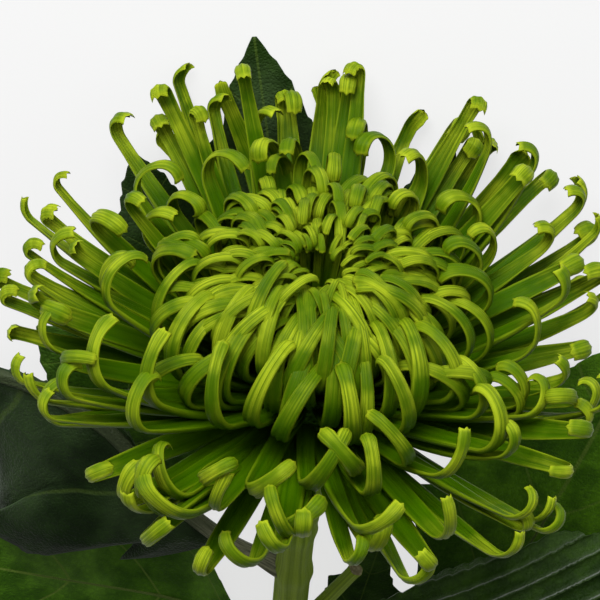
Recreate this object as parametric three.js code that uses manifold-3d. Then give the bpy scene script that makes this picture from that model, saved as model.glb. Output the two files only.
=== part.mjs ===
// A green spider chrysanthemum: one cut stem with its bloom and nine leaves, lying on a table.
// Millimetres, +Z up. The table is z = 0, the bloom faces -Y and the stem runs away along +Y.
// Below the middle of the bloom, on the table, is the origin.

import * as THREE from 'three';
import { mergeVertices } from 'three/addons/utils/BufferGeometryUtils.js';
import Module from 'manifold-3d';

const wasm = await Module();
wasm.setup();

// ---------------------------------------------------------------- driving dimensions

// The way the bloom faces leans up from the table by this much.
const faceTiltDeg = 20;

// The florets sit on a golden-angle spiral, numbered from the outermost to the innermost.
// "places" turns a floret's share of that order into how far in it stands: there is a full skirt,
// a sparse middle and a dense dome. The other lists give [how far in, value] stops, where 0 is
// the outermost floret and 1 the innermost.
// A floret leaves the receptacle at "rise" degrees above its rim, opens by "bend" degrees up to
// "hookStart" of its length, and from there hooks round until it points at "endAngle" degrees.
// "vary" is the most that one floret differs from the rule, and towards the eye they stand more
// evenly. The outer florets are a little shorter, and those nearer the table rise more and are
// longer. On the side away from the table the dome's florets arch over sooner, by "upperHook".
// To stay light, some florets are left out, evenly: from "domeFrom" on one in "domeOf" is built, a
// little wider, and before it all but the places "skirtLeftOut" of each "skirtOf".
const bloom = {
  florets: 400,
  places: [[0, 0], [0.24, 0.3], [0.36, 0.5], [0.44, 0.62], [0.63, 0.76], [0.8, 0.87], [1, 1]],
  domeFrom: 144,
  skirtOf: 5,
  skirtLeftOut: [1, 4],
  domeOf: 5,
  domeWiden: 1.3,
  goldenDeg: 137.508,
  rootRadius: 9,
  rootDepth: -2,
  rootClimb: 6,
  length: [[0, 80], [0.28, 77], [0.4, 70], [0.5, 67], [0.62, 66.5], [0.7, 64.5], [0.78, 61],
    [0.85, 57.5], [0.92, 54], [0.96, 51.5], [1, 49.5]],
  rise: [[0, 4], [0.15, 11], [0.28, 18], [0.4, 26], [0.5, 35], [0.62, 44.5], [0.7, 51.5],
    [0.78, 58], [0.85, 65], [0.92, 70.5], [1, 74]],
  bend: [[0, 18], [0.28, 15], [0.4, 8], [0.5, 0], [1, 0]],
  hookStart: [[0, 0.87], [0.28, 0.76], [0.4, 0.62], [0.5, 0.59], [0.62, 0.59], [0.7, 0.61],
    [0.78, 0.63], [0.85, 0.685], [0.92, 0.745], [1, 0.81]],
  upperHook: [[0, 0], [0.4, 0], [0.5, 0.08], [0.62, 0.13], [0.7, 0.13], [0.78, 0.1],
    [0.85, 0.075], [0.92, 0.055], [1, 0.035]],
  endAngle: [[0, 150], [0.15, 170], [0.28, 190], [0.4, 208], [0.5, 215], [0.62, 220],
    [0.78, 225], [0.85, 230], [0.92, 235], [1, 240]],
  twist: [[0, 50], [0.4, 45], [0.62, 36], [1, 45]],
  halfWidth: [[0, 2.6], [0.3, 2.5], [0.5, 2.2], [0.62, 2], [0.78, 1.7], [0.92, 1.2], [1, 0.9]],
  halfThick: [[0, 0.8], [1, 0.55]],
  vary: { angle: 9, length: 0.09, rise: 6, bend: 0.7, hookStart: 0.07, endAngle: 40, lean: 9 },
  calmFrom: 0.5,
  calmTo: 0.55,
  latestHook: 0.93,
  outerTo: 0.5,
  underRise: 6,
  underLonger: 0.2,
  underHook: 0.09,
  outerShorter: 0.14,
  outerHook: 0.07,
  rootWidth: 0.45,
  rootWidening: 2.2,
  finest: 0.02,
};

// A floret is stepped along in this many steps, and a ring of its solid stands at a few of them.
const pathSteps = 40;
const shaftRingAt = 0.55;
const hookRings = { plain: 3, tight: 4, tightFromDeg: 100 };

// A floret's section as shares of its half width and half thickness: flat inside, keeled outside.
const floretSection = [[1, 0.6], [-1, 0.6], [0, -1.1]];

// The surface that the lowest florets come to rest on: the leaves under the bloom.
const bloomFloor = 2.2;
const softLanding = 4;

// Receptacle and disc that the florets stand out of, as a profile of [radius, height] along the
// bloom's axis.
const receptacle = [[0, -6], [12, -6], [17, -3], [18, 3], [17, 10], [13, 17], [8, 21],
  [4, 22.5], [0, 23]];
const latheSides = 20;

// The green cup of bracts below the receptacle. "cup" lists its [radius, height from the top], and
// its rim is drawn out into pointed bracts that hang by "flareDeg".
const involucre = {
  top: -6.3,
  cup: [[5.4, -9], [7.6, -5], [10.4, -2.4]],
  rimRadius: 11,
  innerRadius: 8,
  bracts: 14,
  bractLength: 6,
  bractThick: 1.2,
  flareDeg: 12,
  sidesPerBract: 4,
};

// The stem leaves the cup, runs straight, and bends level until it lies on the table.
const stem = {
  start: 15.6,
  length: 240,
  straight: 90,
  levelling: 124,
  radius: 4.6,
  collarRadius: 5.3,
  collarLength: 14,
  ridges: 6,
  ridgeHeight: 0.06,
  sides: 12,
  nodeSwell: 0.7,
  nodeReach: 6,
  stations: 34,
};
const faceTilt = THREE.MathUtils.degToRad(faceTiltDeg);
const levellingRadius = stem.levelling / faceTilt;

// The receptacle is as high as the stem needs to come down to the table at its far end.
const headHeight = stem.radius * (1 - stem.ridgeHeight) + stem.straight * Math.sin(faceTilt)
  + levellingRadius * (1 - Math.cos(faceTilt));

// The stub of a side shoot that was cut off. It is a little thicker where it grows from the stem.
const stub = {
  at: 118, direction: [-0.43, -0.86, 0.27], length: 35, radius: 1.9, rootThicker: 0.25, sides: 8,
};

// Leaves. "node" is the distance down the stem, "path" the midrib from the stem to the tip,
// "bladeFrom" the share of the path that is stalk, "halfWidth" the width of each half and
// "droopDeg" how far it hangs, given as one value or as [half nearer the bloom, other half].
// "floor" is the height of what the leaf lies on.
const leaves = {
  leaf_left: {
    node: 84,
    path: [[20, 72, 26], [37, 58, 26], [54, 42, 22], [79, 34, 15], [112, 36, 5]],
    bladeFrom: 0.2, halfWidth: [4, 56], droopDeg: [30, 13], rollDeg: 0, floor: 1.3,
  },
  leaf_lower_left: {
    node: 112,
    path: [[10, 113, 14], [28, 113, 3], [54, 111, -3], [84, 108, -3], [114, 104, -3]],
    bladeFrom: 0.2, halfWidth: 27, droopDeg: 0, rollDeg: 0, floor: 0,
  },
  leaf_behind_left: {
    node: 64,
    path: [[9, 57, 22], [22, 58, 6], [40, 52, -3], [58, 40, -3], [75, 25, -3]],
    bladeFrom: 0.3, halfWidth: 20, droopDeg: 0, rollDeg: 0, floor: 0,
  },
  leaf_top: {
    node: 46,
    path: [[4, 36, 22], [7, 24, 4], [9, 8, -4], [15, -30, -4], [22, -67, -4]],
    bladeFrom: 0.34, halfWidth: 21, droopDeg: 0, rollDeg: 0, floor: 0,
  },
  leaf_upper_left: {
    node: 58,
    path: [[10, 46, 23], [21, 33, 8], [33, 12, -1], [43, -10, -2], [51, -31, -2]],
    bladeFrom: 0.32, halfWidth: 16, droopDeg: 0, rollDeg: 0, floor: 1.2,
  },
  leaf_upper_right: {
    node: 52,
    path: [[-8, 41, 25], [-15, 27, 9], [-21, 6, -1], [-26, -18, -2], [-31, -43, -2]],
    bladeFrom: 0.32, halfWidth: 14, droopDeg: 0, rollDeg: 0, floor: 1.2,
  },
  leaf_right: {
    node: 134,
    path: [[-14, 124, 11], [-36, 117, 6], [-58, 99, 0], [-75, 57, -2], [-89, 10, -2]],
    bladeFrom: 0.36, halfWidth: 38, droopDeg: 0, rollDeg: 0, floor: 1.1,
  },
  leaf_lower_right: {
    node: 146,
    path: [[-12, 124, 21], [-29, 106, 33], [-53, 93, 42], [-82, 85, 38], [-112, 82, 24]],
    bladeFrom: 0.22, halfWidth: 31, droopDeg: 18, rollDeg: 0, floor: 2.4,
  },
  leaf_lower_centre: {
    node: 162,
    path: [[-8, 147, 6], [-14, 134, 0], [-18, 119, -3], [-21, 104, -3], [-24, 88, -3]],
    bladeFrom: 0.26, halfWidth: 13, droopDeg: 0, rollDeg: 0, floor: 0,
  },
};

// The outline of half a blade: [share of its length, share of its half width]. Each drop after a
// peak is the notch behind a lobe that points forward.
const leafOutline = [[0, 0.08], [0.1, 0.36], [0.2, 0.82], [0.27, 0.94], [0.31, 0.74], [0.4, 0.88],
  [0.5, 1], [0.54, 0.8], [0.64, 0.82], [0.74, 0.84], [0.78, 0.58], [0.9, 0.36], [1, 0.03]];
const blade = { thick: 0.9, columns: 2, forwardSweep: 0.1, softLanding: 3 };
const stalk = { radius: 2.2, tipRadius: 0.7, sides: 6, stations: 6, gap: 0.6, intoBlade: 0.25 };

// ---------------------------------------------------------------- small helpers

const radians = THREE.MathUtils.degToRad;

// A fixed draw between -1 and 1 for one floret and one of its traits.
function spread(index, trait) {
  const wave = Math.sin(index * 12.9898 + trait * 78.233) * 43758.5453;
  return 2 * (wave - Math.floor(wave)) - 1;
}

// The value of a list of [place, value] stops at a place.
function ramp(place, stops) {
  for (let i = 1; i < stops.length; i++) {
    const [from, low] = stops[i - 1];
    const [to, high] = stops[i];
    if (place <= to) return low + ((high - low) * (place - from)) / (to - from);
  }
  return stops[stops.length - 1][1];
}

// A height that comes to rest on a floor, with a soft bend just above it.
function layOn(height, floor, soft) {
  const above = height - floor;
  if (above <= -soft) return floor;
  if (above >= soft) return height;
  return floor + (above + soft) ** 2 / (4 * soft);
}

// A ring that turns from "across" to "face", with its radius given at each turn.
function ringAround(centre, across, face, radiusAt, sides) {
  const ring = [];
  for (let j = 0; j < sides; j++) {
    const turn = (j / sides) * Math.PI * 2;
    ring.push(centre.clone()
      .addScaledVector(across, radiusAt(turn) * Math.cos(turn))
      .addScaledVector(face, radiusAt(turn) * Math.sin(turn)));
  }
  return ring;
}

// A closed body from rings of points, each turning from its "across" to its "face" direction,
// where face = across x along.
function loft(rings) {
  const sides = rings[0].length;
  const positions = rings.flat().flatMap((p) => [p.x, p.y, p.z]);
  const index = [];
  for (let i = 0; i < rings.length - 1; i++) {
    for (let j = 0; j < sides; j++) {
      const here = i * sides + j;
      const next = i * sides + ((j + 1) % sides);
      index.push(here, here + sides, next, next, here + sides, next + sides);
    }
  }
  const last = (rings.length - 1) * sides;
  for (let j = 1; j < sides - 1; j++) {
    index.push(0, j, j + 1);
    index.push(last, last + j + 1, last + j);
  }
  const geometry = new THREE.BufferGeometry();
  geometry.setAttribute('position', new THREE.Float32BufferAttribute(positions, 3));
  geometry.setIndex(index);
  return geometry;
}

function solidOf(geometry) {
  const bare = geometry.clone();
  bare.deleteAttribute('normal');
  bare.deleteAttribute('uv');
  const merged = mergeVertices(bare, 1e-4);
  const mesh = new wasm.Mesh({
    numProp: 3,
    vertProperties: new Float32Array(merged.attributes.position.array),
    triVerts: new Uint32Array(merged.index.array),
  });
  return new wasm.Manifold(mesh);
}

function geometryOf(solid) {
  const mesh = solid.getMesh();
  const geometry = new THREE.BufferGeometry();
  geometry.setAttribute('position', new THREE.Float32BufferAttribute(mesh.vertProperties, 3));
  geometry.setIndex(Array.from(mesh.triVerts));
  geometry.computeVertexNormals();
  return geometry;
}

// Joins many bodies pair by pair, which is quicker than adding them one after another.
function joinAll(solids) {
  let parts = solids;
  while (parts.length > 1) {
    const joined = [];
    for (let i = 0; i < parts.length; i += 2) {
      joined.push(i + 1 < parts.length ? parts[i].add(parts[i + 1]) : parts[i]);
    }
    parts = joined;
  }
  return parts[0];
}

// ---------------------------------------------------------------- the head's own frame

// In the head's frame +Z is the way the bloom faces and +Y its side away from the table.
const head = new THREE.Group();
head.position.set(0, 0, headHeight);
head.rotation.x = Math.PI / 2 - faceTilt;
head.updateMatrixWorld();
const toTable = head.matrixWorld.clone();
const toHead = toTable.clone().invert();

// ---------------------------------------------------------------- bloom

// The traits of one floret, by its number on the spiral.
function floretTraits(k) {
  const { vary } = bloom;
  const order = k / (bloom.florets - 1);
  const t = ramp(order, bloom.places);
  const angle = radians(k * bloom.goldenDeg + vary.angle * spread(k, 1));
  const under = 0.5 - 0.5 * Math.cos(angle);
  const outer = Math.max(0, 1 - t / bloom.outerTo);
  const inDome = Math.max(0, t - bloom.calmFrom) / (1 - bloom.calmFrom);
  const calm = 1 + (bloom.calmTo - 1) * inDome;
  const rise = ramp(t, bloom.rise) + vary.rise * spread(k, 3) * calm
    + bloom.underRise * outer * under;
  const bend = ramp(t, bloom.bend) * (1 + vary.bend * spread(k, 4));
  const longer = 1 + outer * (bloom.underLonger * under - bloom.outerShorter);
  const hookStart = ramp(t, bloom.hookStart) + vary.hookStart * spread(k, 5) * calm
    + outer * (bloom.underHook * under - bloom.outerHook)
    - ramp(t, bloom.upperHook) * (1 - under);
  return {
    t,
    angle,
    rise,
    bend,
    root: bloom.rootRadius * Math.sqrt(1 - order),
    length: ramp(t, bloom.length) * (1 + vary.length * spread(k, 2) * calm) * longer,
    hookStart: Math.min(bloom.latestHook, hookStart),
    hook: ramp(t, bloom.endAngle) + vary.endAngle * spread(k, 6) - rise - bend,
    twist: ramp(t, bloom.twist) * spread(k, 7) * (1 + outer * (1 - under)),
    lean: vary.lean * spread(k, 8),
    halfWidth: ramp(t, bloom.halfWidth) * (k < bloom.domeFrom ? 1 : bloom.domeWiden),
    halfThick: ramp(t, bloom.halfThick),
  };
}

// The floret's centre line as frames of { at, across, face }, in the head's frame.
function floretFrames(traits) {
  const { t, angle, rise, bend, root, hook, hookStart, twist, lean, length } = traits;
  const at = new THREE.Vector3(-root * Math.sin(angle), root * Math.cos(angle),
    bloom.rootDepth + bloom.rootClimb * t);
  const heading = angle + radians(lean);
  const out = new THREE.Vector3(-Math.sin(heading), Math.cos(heading), 0);
  const up = new THREE.Vector3(0, 0, 1);
  const blend = (a, ca, b, cb) => a.clone().multiplyScalar(ca).addScaledVector(b, cb);
  let along = blend(out, Math.cos(radians(rise)), up, Math.sin(radians(rise)));
  let face = blend(out, -Math.sin(radians(rise)), up, Math.cos(radians(rise)));
  let across = along.clone().cross(face);
  const frames = [];
  for (let i = 0; i <= pathSteps; i++) {
    frames.push({ at: at.clone(), across, face });
    const s = (i + 0.5) / pathSteps;
    const turn = radians((s < hookStart ? bend / hookStart : hook / (1 - hookStart)) / pathSteps);
    const roll = radians(twist / pathSteps);
    const middle = blend(along, Math.cos(turn / 2), face, Math.sin(turn / 2));
    at.addScaledVector(middle, length / pathSteps);
    const turned = blend(face, Math.cos(turn), along, -Math.sin(turn));
    along = blend(along, Math.cos(turn), face, Math.sin(turn));
    face = blend(turned, Math.cos(roll), across, -Math.sin(roll));
    across = blend(across, Math.cos(roll), turned, Math.sin(roll));
  }
  return frames;
}

// The floret's half width at a share of its length: it has a narrow root.
function floretHalfWidth(traits, s) {
  return traits.halfWidth * Math.min(1, bloom.rootWidth + bloom.rootWidening * s);
}

function floretSolid(k) {
  const traits = floretTraits(k);
  const frames = floretFrames(traits);
  const bendStep = Math.round(traits.hookStart * pathSteps);
  const hookSteps = pathSteps - bendStep;
  const stations = [0, Math.round(bendStep * shaftRingAt), bendStep];
  const isTight = Math.abs(traits.hook) > hookRings.tightFromDeg;
  const inHook = isTight ? hookRings.tight : hookRings.plain;
  for (let i = 1; i <= inHook; i++) {
    stations.push(bendStep + Math.round((hookSteps * i) / inHook));
  }
  const rings = stations.map((step) => {
    const { at, across, face } = frames[step];
    const wide = floretHalfWidth(traits, step / pathSteps);
    const thick = traits.halfThick;
    const acrossTable = across.clone().transformDirection(toTable);
    const faceTable = face.clone().transformDirection(toTable);
    const centre = at.clone().applyMatrix4(toTable);
    const reach = Math.abs(wide * acrossTable.z) + Math.abs(thick * faceTable.z);
    centre.z = layOn(centre.z, bloomFloor + reach, softLanding);
    centre.applyMatrix4(toHead);
    return floretSection.map(([a, f]) => centre.clone()
      .addScaledVector(across, a * wide)
      .addScaledVector(face, f * thick));
  });
  return solidOf(loft(rings));
}

function latheAlongZ(profile) {
  const points = profile.map(([radius, height]) => new THREE.Vector2(radius, height));
  const geometry = new THREE.LatheGeometry(points, latheSides);
  geometry.rotateX(Math.PI / 2);
  return geometry;
}

// Some florets are left out, evenly, so that the bloom stays light enough to use.
function isBuilt(k) {
  if (k < bloom.domeFrom) return !bloom.skirtLeftOut.includes(k % bloom.skirtOf);
  return k % bloom.domeOf === 0;
}

function bloomGeometry() {
  const solids = [solidOf(latheAlongZ(receptacle))];
  for (let k = 0; k < bloom.florets; k++) {
    if (isBuilt(k)) solids.push(floretSolid(k));
  }
  return geometryOf(joinAll(solids).simplify(bloom.finest));
}

// ---------------------------------------------------------------- involucre

// A ring round the bloom's axis, drawn out by "reach" into one point at each bract.
function bractRing(radius, height, reach) {
  const { bracts, sidesPerBract, flareDeg } = involucre;
  const points = [];
  for (let j = 0; j < bracts * sidesPerBract; j++) {
    const turn = (j / (bracts * sidesPerBract)) * Math.PI * 2;
    const out = reach * (1 - Math.abs(Math.sin((turn * bracts) / 2)));
    const hang = out * Math.tan(radians(flareDeg));
    points.push(new THREE.Vector3((radius + out) * Math.cos(turn),
      -(radius + out) * Math.sin(turn), height - hang));
  }
  return points;
}

function involucreGeometry() {
  const { top, cup, rimRadius, innerRadius, bractLength, bractThick } = involucre;
  const rings = cup.map(([radius, height]) => bractRing(radius, top + height, 0));
  rings.push(bractRing(rimRadius, top - bractThick, bractLength));
  rings.push(bractRing(rimRadius, top, bractLength));
  rings.push(bractRing(innerRadius, top, 0));
  return geometryOf(solidOf(loft(rings)));
}

// ---------------------------------------------------------------- stem

// The stem's centre line and direction at a distance down from the receptacle.
function stemFrame(distance) {
  const straight = Math.min(distance, stem.straight);
  const bent = Math.min(Math.max(distance - stem.straight, 0), stem.levelling);
  const level = Math.max(distance - stem.straight - stem.levelling, 0);
  const slope = faceTilt * (1 - bent / stem.levelling);
  const y = straight * Math.cos(faceTilt) + level
    + levellingRadius * (Math.sin(faceTilt) - Math.sin(slope));
  const z = headHeight - straight * Math.sin(faceTilt)
    - levellingRadius * (Math.cos(slope) - Math.cos(faceTilt));
  return {
    at: new THREE.Vector3(0, y, z),
    along: new THREE.Vector3(0, Math.cos(slope), -Math.sin(slope)),
  };
}

// The stem widens under the head and swells a little at each leaf.
function stemRadius(distance) {
  const collar = Math.max(0, 1 - (distance - stem.start) / stem.collarLength);
  const swells = Object.values(leaves).map((leaf) => {
    const near = Math.max(0, 1 - Math.abs(distance - leaf.node) / stem.nodeReach);
    return near * near * (3 - 2 * near);
  });
  return stem.radius + (stem.collarRadius - stem.radius) * collar ** 2
    + stem.nodeSwell * Math.max(...swells);
}

function stemGeometry() {
  const rings = [];
  const across = new THREE.Vector3(1, 0, 0);
  for (let i = 0; i <= stem.stations; i++) {
    const distance = stem.start + ((stem.length - stem.start) * i) / stem.stations;
    const { at, along } = stemFrame(distance);
    const face = across.clone().cross(along);
    const ridged = (turn) => stemRadius(distance)
      * (1 + stem.ridgeHeight * Math.cos(stem.ridges * turn));
    rings.push(ringAround(at, across, face, ridged, stem.sides));
  }
  const main = solidOf(loft(rings));
  return geometryOf(main.add(stubSolid()));
}

function stubSolid() {
  const from = stemFrame(stub.at).at;
  const along = new THREE.Vector3(...stub.direction).normalize();
  const across = new THREE.Vector3(0, 0, 1).cross(along).normalize();
  const face = across.clone().cross(along);
  const rings = [0, 0.5, 1].map((share) => {
    const centre = from.clone().addScaledVector(along, share * (stub.length + stem.radius));
    const radius = stub.radius * (1 + stub.rootThicker * (1 - share));
    return ringAround(centre, across, face, () => radius, stub.sides);
  });
  return solidOf(loft(rings));
}

// ---------------------------------------------------------------- leaves

// The way out of the stem at a leaf's node, towards the first point of its path.
function wayOut(leaf) {
  const { at, along } = stemFrame(leaf.node);
  const out = new THREE.Vector3(...leaf.path[0]).sub(at);
  return out.addScaledVector(along, -out.dot(along)).normalize();
}

// The leaf's midrib: it starts just clear of the stem and passes through the path's points.
function midribOf(leaf) {
  const clear = stemRadius(leaf.node) * (1 + stem.ridgeHeight) + stalk.gap;
  const start = stemFrame(leaf.node).at.addScaledVector(wayOut(leaf), clear);
  const points = [start, ...leaf.path.map((p) => new THREE.Vector3(...p))];
  return new THREE.CatmullRomCurve3(points, false, 'catmullrom', 0.5);
}

// The direction across a leaf at a point of its midrib, turned by the leaf's roll.
function leafAcross(along, rollDeg) {
  const across = along.clone().cross(new THREE.Vector3(0, 0, 1)).normalize();
  return across.applyAxisAngle(along, radians(rollDeg));
}

// A leaf's value for the half that the place "v" across it is on.
function ofHalf(value, v) {
  return Array.isArray(value) ? value[v > 0 ? 0 : 1] : value;
}

// The blade: the same grid of triangles above and below, so the two faces never cross.
function bladeSolid(leaf, midrib) {
  const columns = blade.columns;
  const perRow = 2 * columns + 1;
  const positions = [];
  const length = midrib.getLength() * (1 - leaf.bladeFrom);
  for (const [share, width] of leafOutline) {
    const u = leaf.bladeFrom + (1 - leaf.bladeFrom) * share;
    const centre = midrib.getPoint(u);
    const along = midrib.getTangent(u);
    const across = leafAcross(along, leaf.rollDeg);
    const up = across.clone().cross(along).normalize();
    const forward = length * blade.forwardSweep * (1 - share);
    for (let j = -columns; j <= columns; j++) {
      const v = j / columns;
      const hang = radians(ofHalf(leaf.droopDeg, v)) * Math.abs(v);
      const reach = ofHalf(leaf.halfWidth, v) * width * v;
      const p = centre.clone()
        .addScaledVector(across, reach * Math.cos(hang))
        .addScaledVector(up, -Math.abs(reach) * Math.sin(hang))
        .addScaledVector(along, forward * Math.abs(v) * width);
      const low = layOn(p.z - blade.thick / 2, leaf.floor, blade.softLanding);
      positions.push([p.x, p.y, low + blade.thick], [p.x, p.y, low]);
    }
  }
  const rows = leafOutline.length;
  const upper = (i, j) => (i * perRow + j) * 2;
  const lower = (i, j) => upper(i, j) + 1;
  const index = [];
  const quad = (a, b, c, d) => index.push(a, b, c, c, b, d);
  for (let i = 0; i < rows - 1; i++) {
    for (let j = 0; j < perRow - 1; j++) {
      quad(upper(i, j), upper(i, j + 1), upper(i + 1, j), upper(i + 1, j + 1));
      quad(lower(i, j + 1), lower(i, j), lower(i + 1, j + 1), lower(i + 1, j));
    }
    quad(lower(i, 0), upper(i, 0), lower(i + 1, 0), upper(i + 1, 0));
    const end = perRow - 1;
    quad(upper(i, end), lower(i, end), upper(i + 1, end), lower(i + 1, end));
  }
  for (let j = 0; j < perRow - 1; j++) {
    quad(lower(0, j), lower(0, j + 1), upper(0, j), upper(0, j + 1));
    quad(upper(rows - 1, j), upper(rows - 1, j + 1), lower(rows - 1, j), lower(rows - 1, j + 1));
  }
  const geometry = new THREE.BufferGeometry();
  geometry.setAttribute('position', new THREE.Float32BufferAttribute(positions.flat(), 3));
  geometry.setIndex(index);
  return solidOf(geometry);
}

// The stalk, which runs on under the blade as the thick part of the midrib.
function stalkSolid(leaf, midrib) {
  const end = leaf.bladeFrom + (1 - leaf.bladeFrom) * stalk.intoBlade;
  const rings = [];
  for (let i = 0; i < stalk.stations; i++) {
    const share = i / (stalk.stations - 1);
    const u = end * share;
    const centre = midrib.getPoint(u);
    const along = i === 0 ? wayOut(leaf) : midrib.getTangent(u);
    const across = along.clone().cross(new THREE.Vector3(0, 0, 1)).normalize();
    const face = across.clone().cross(along);
    const radius = stalk.radius + (stalk.tipRadius - stalk.radius) * share;
    centre.z = layOn(centre.z, leaf.floor + radius, blade.softLanding);
    rings.push(ringAround(centre, across, face, () => radius, stalk.sides));
  }
  return solidOf(loft(rings));
}

function leafGeometry(leaf) {
  const midrib = midribOf(leaf);
  return geometryOf(bladeSolid(leaf, midrib).add(stalkSolid(leaf, midrib)));
}

// ---------------------------------------------------------------- materials and assembly

const finishes = {
  floret: { color: 0x86a81c, roughness: 0.55, metalness: 0 },
  bract: { color: 0x5d7a2c, roughness: 0.7, metalness: 0 },
  stem: { color: 0x5f6f3e, roughness: 0.7, metalness: 0 },
  leaf: { color: 0x2c4422, roughness: 0.6, metalness: 0 },
};

function named(name, geometry, finish) {
  const mesh = new THREE.Mesh(geometry, new THREE.MeshStandardMaterial(finish));
  mesh.name = name;
  return mesh;
}

const flower = new THREE.Group();
head.add(named('bloom', bloomGeometry(), finishes.floret));
head.add(named('involucre', involucreGeometry(), finishes.bract));
flower.add(head);
flower.add(named('stem', stemGeometry(), finishes.stem));
for (const [name, leaf] of Object.entries(leaves)) {
  flower.add(named(name, leafGeometry(leaf), finishes.leaf));
}

export default flower;
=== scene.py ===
import math
import bpy
import numpy as np
from mathutils import Matrix, Vector


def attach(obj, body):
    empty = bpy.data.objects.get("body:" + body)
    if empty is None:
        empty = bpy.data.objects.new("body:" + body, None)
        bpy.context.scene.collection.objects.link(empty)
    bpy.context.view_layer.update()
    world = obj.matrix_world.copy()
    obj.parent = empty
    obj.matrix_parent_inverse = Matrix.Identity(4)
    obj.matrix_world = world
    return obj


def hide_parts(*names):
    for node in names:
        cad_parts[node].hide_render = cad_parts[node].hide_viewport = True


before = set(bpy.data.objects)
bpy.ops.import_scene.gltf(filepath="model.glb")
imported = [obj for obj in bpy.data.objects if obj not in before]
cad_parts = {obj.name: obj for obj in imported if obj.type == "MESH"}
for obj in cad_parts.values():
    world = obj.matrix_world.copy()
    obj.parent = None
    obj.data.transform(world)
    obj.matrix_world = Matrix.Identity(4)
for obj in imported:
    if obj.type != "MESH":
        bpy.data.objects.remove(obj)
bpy.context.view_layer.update()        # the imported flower: bloom, involucre, stem and nine leaves
mm = 0.001
overTable = 0.02         # the stem and the blades stay this many mm over the table
aboutX, aboutZ = Vector((1, 0, 0)), Vector((0, 0, 1))


def ramp(place, stops):
    # the value of a list of (place, value) stops at a place
    for (fromPlace, low), (toPlace, high) in zip(stops, stops[1:]):
        if place <= toPlace:
            return low + (high - low) * (place - fromPlace) / (toPlace - fromPlace)
    return stops[-1][1]


def smooth(edge0, edge1, x):
    t = min(1.0, max(0.0, (x - edge0) / (edge1 - edge0)))
    return t * t * (3 - 2 * t)


def spread(index, trait):
    # a fixed draw between -1 and 1 for one floret and one of its traits
    wave = math.sin(index * 12.9898 + trait * 78.233) * 43758.5453
    return 2 * (wave - math.floor(wave)) - 1


def layOn(height, floor, soft):
    # a height that comes to rest on a floor, with a soft bend just above it
    above = height - floor
    if above <= -soft:
        return floor
    if above >= soft:
        return height
    return floor + (above + soft) ** 2 / (4 * soft)


def turns(count):
    # even steps round a ring
    return [2 * math.pi * j / count for j in range(count)]


def addObject(name, data):
    piece = bpy.data.objects.new(name, data)
    bpy.context.scene.collection.objects.link(piece)
    return piece


def plainMesh(name, verts, faces, material, smoothShade=True):
    mesh = bpy.data.meshes.new(name)
    mesh.from_pydata([tuple(v) for v in verts], [], faces)
    mesh.polygons.foreach_set("use_smooth", [smoothShade] * len(mesh.polygons))
    mesh.materials.append(material)
    mesh.update()
    return addObject(name, mesh)


def store(mesh, kind="FLOAT", **layers):
    # each layer holds one value, or one vector, for every point
    for name, values in layers.items():
        layer = mesh.attributes.new(name, kind, "POINT")
        layer.data.foreach_set("value" if kind == "FLOAT" else "vector",
                               np.asarray(values, np.float32).ravel())


def sheetFaces(rows, perRow, flipped=False):
    # a closed sheet of two skins, each rows + 1 times perRow points, joined round the edge
    shift = (rows + 1) * perRow
    faces = []
    for i in range(rows):
        for j in range(perRow - 1):
            a = i * perRow + j
            b, c, d = a + 1, a + perRow + 1, a + perRow
            faces.append((a, b, c, d))
            faces.append((a + shift, d + shift, c + shift, b + shift))
        left, right = i * perRow, i * perRow + perRow - 1
        faces.append((left, left + perRow, left + perRow + shift, left + shift))
        faces.append((right, right + shift, right + perRow + shift, right + perRow))
    for near in range(perRow - 1):
        far = rows * perRow + near
        faces.append((near, near + shift, near + 1 + shift, near + 1))
        faces.append((far, far + 1, far + 1 + shift, far + shift))
    return [(f[0], *reversed(f[1:])) for f in faces] if flipped else faces


def tubeFaces(rings, around):
    return [(i * around + j, i * around + (j + 1) % around, (i + 1) * around + (j + 1) % around,
             (i + 1) * around + j) for i in range(rings - 1) for j in range(around)]


def finishPiece(piece, node):
    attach(piece, "root")
    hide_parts(node)


class Wire:
    # an output of a node, its first or the one named; sums of wires add the nodes that work them out
    def __init__(self, tree, node, key=0):
        self.tree = tree
        self.node = node
        self.socket = node.outputs[key]

    def __getitem__(self, key):
        return Wire(self.tree, self.node, key)

    def __add__(self, other):
        return calc(self.tree, "ADD", self, other)

    def __sub__(self, other):
        return calc(self.tree, "SUBTRACT", self, other)

    def __rsub__(self, other):
        return calc(self.tree, "SUBTRACT", other, self)

    def __mul__(self, other):
        return calc(self.tree, "MULTIPLY", self, other)

    def __abs__(self):
        return calc(self.tree, "ABSOLUTE", self)

    def then(self, operation, *others):
        return calc(self.tree, operation, self, *others)

    def scaled(self, factor, plus):
        return calc(self.tree, "MULTIPLY_ADD", self, factor, plus)

    def span(self, fromMin, fromMax, toMin=0.0, toMax=1.0):
        # a soft step from one range to another
        return addNode(self.tree, "ShaderNodeMapRange", self, fromMin, fromMax, toMin, toMax,
                       interpolation_type="SMOOTHSTEP")

    def mix(self, a, b, blend="MIX"):
        # this wire says how much of b goes over a
        mixed = addNode(self.tree, "ShaderNodeMix", self, data_type="RGBA", blend_type=blend)
        setInputs(self.tree, mixed.node, {6: a, 7: b})
        return mixed[2]

    def darken(self, a, b):
        return self.mix(a, b, "MULTIPLY")

    def tints(self, *stops):
        # a colour ramp of (place, colour) stops
        ramped = addNode(self.tree, "ShaderNodeValToRGB", self)
        elements = ramped.node.color_ramp.elements
        while len(elements) < len(stops):
            elements.new(0.5)
        for element, (place, colour) in zip(elements, stops):
            element.position = place
            element.color = (*colour, 1)
        return ramped


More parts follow.
